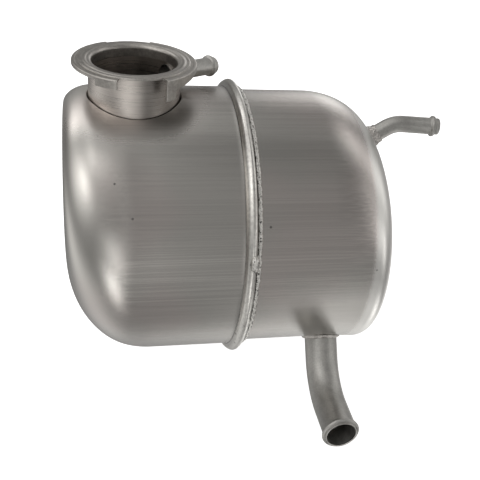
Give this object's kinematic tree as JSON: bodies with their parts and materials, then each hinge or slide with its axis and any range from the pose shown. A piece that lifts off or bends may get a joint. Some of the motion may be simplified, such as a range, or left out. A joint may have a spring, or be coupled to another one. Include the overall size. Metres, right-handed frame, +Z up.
{
  "type": "coolant expansion tank",
  "caption": "Round metal coolant expansion tank lying on its side, with a bayonet filler neck, an overflow pipe, a bent vent pipe and a bent outlet pipe.",
  "frame": {"origin": "on the tank's axis, in the middle of the seam bead", "axes": "+X along the tank to the vent end, +Z up the filler neck, +Y to the back, away from the outlet's mouth"},
  "size_m": [0.2123, 0.1809, 0.1876],
  "materials": {
    "tank_skin": "satin, brushed along the tank",
    "weld_metal": "as welded, rippled and bright",
    "neck_metal": "polished by turning, fine rings",
    "rim_metal": "matt, slightly pitted",
    "pipe_metal": "matt mill finish"
  },
  "bodies": {
    "root": {"front_shell": "tank_skin", "rear_shell": "tank_skin", "seam_weld": "weld_metal", "neck_barrel": "neck_metal", "neck_braze": "weld_metal", "cam_rim": "rim_metal", "pressure_seat": "neck_metal", "overflow_tube": "pipe_metal", "overflow_braze": "weld_metal", "vent_tube": "pipe_metal", "vent_boss": "weld_metal", "outlet_tube": "pipe_metal", "outlet_weld": "weld_metal"}
  },
  "joints": []
}
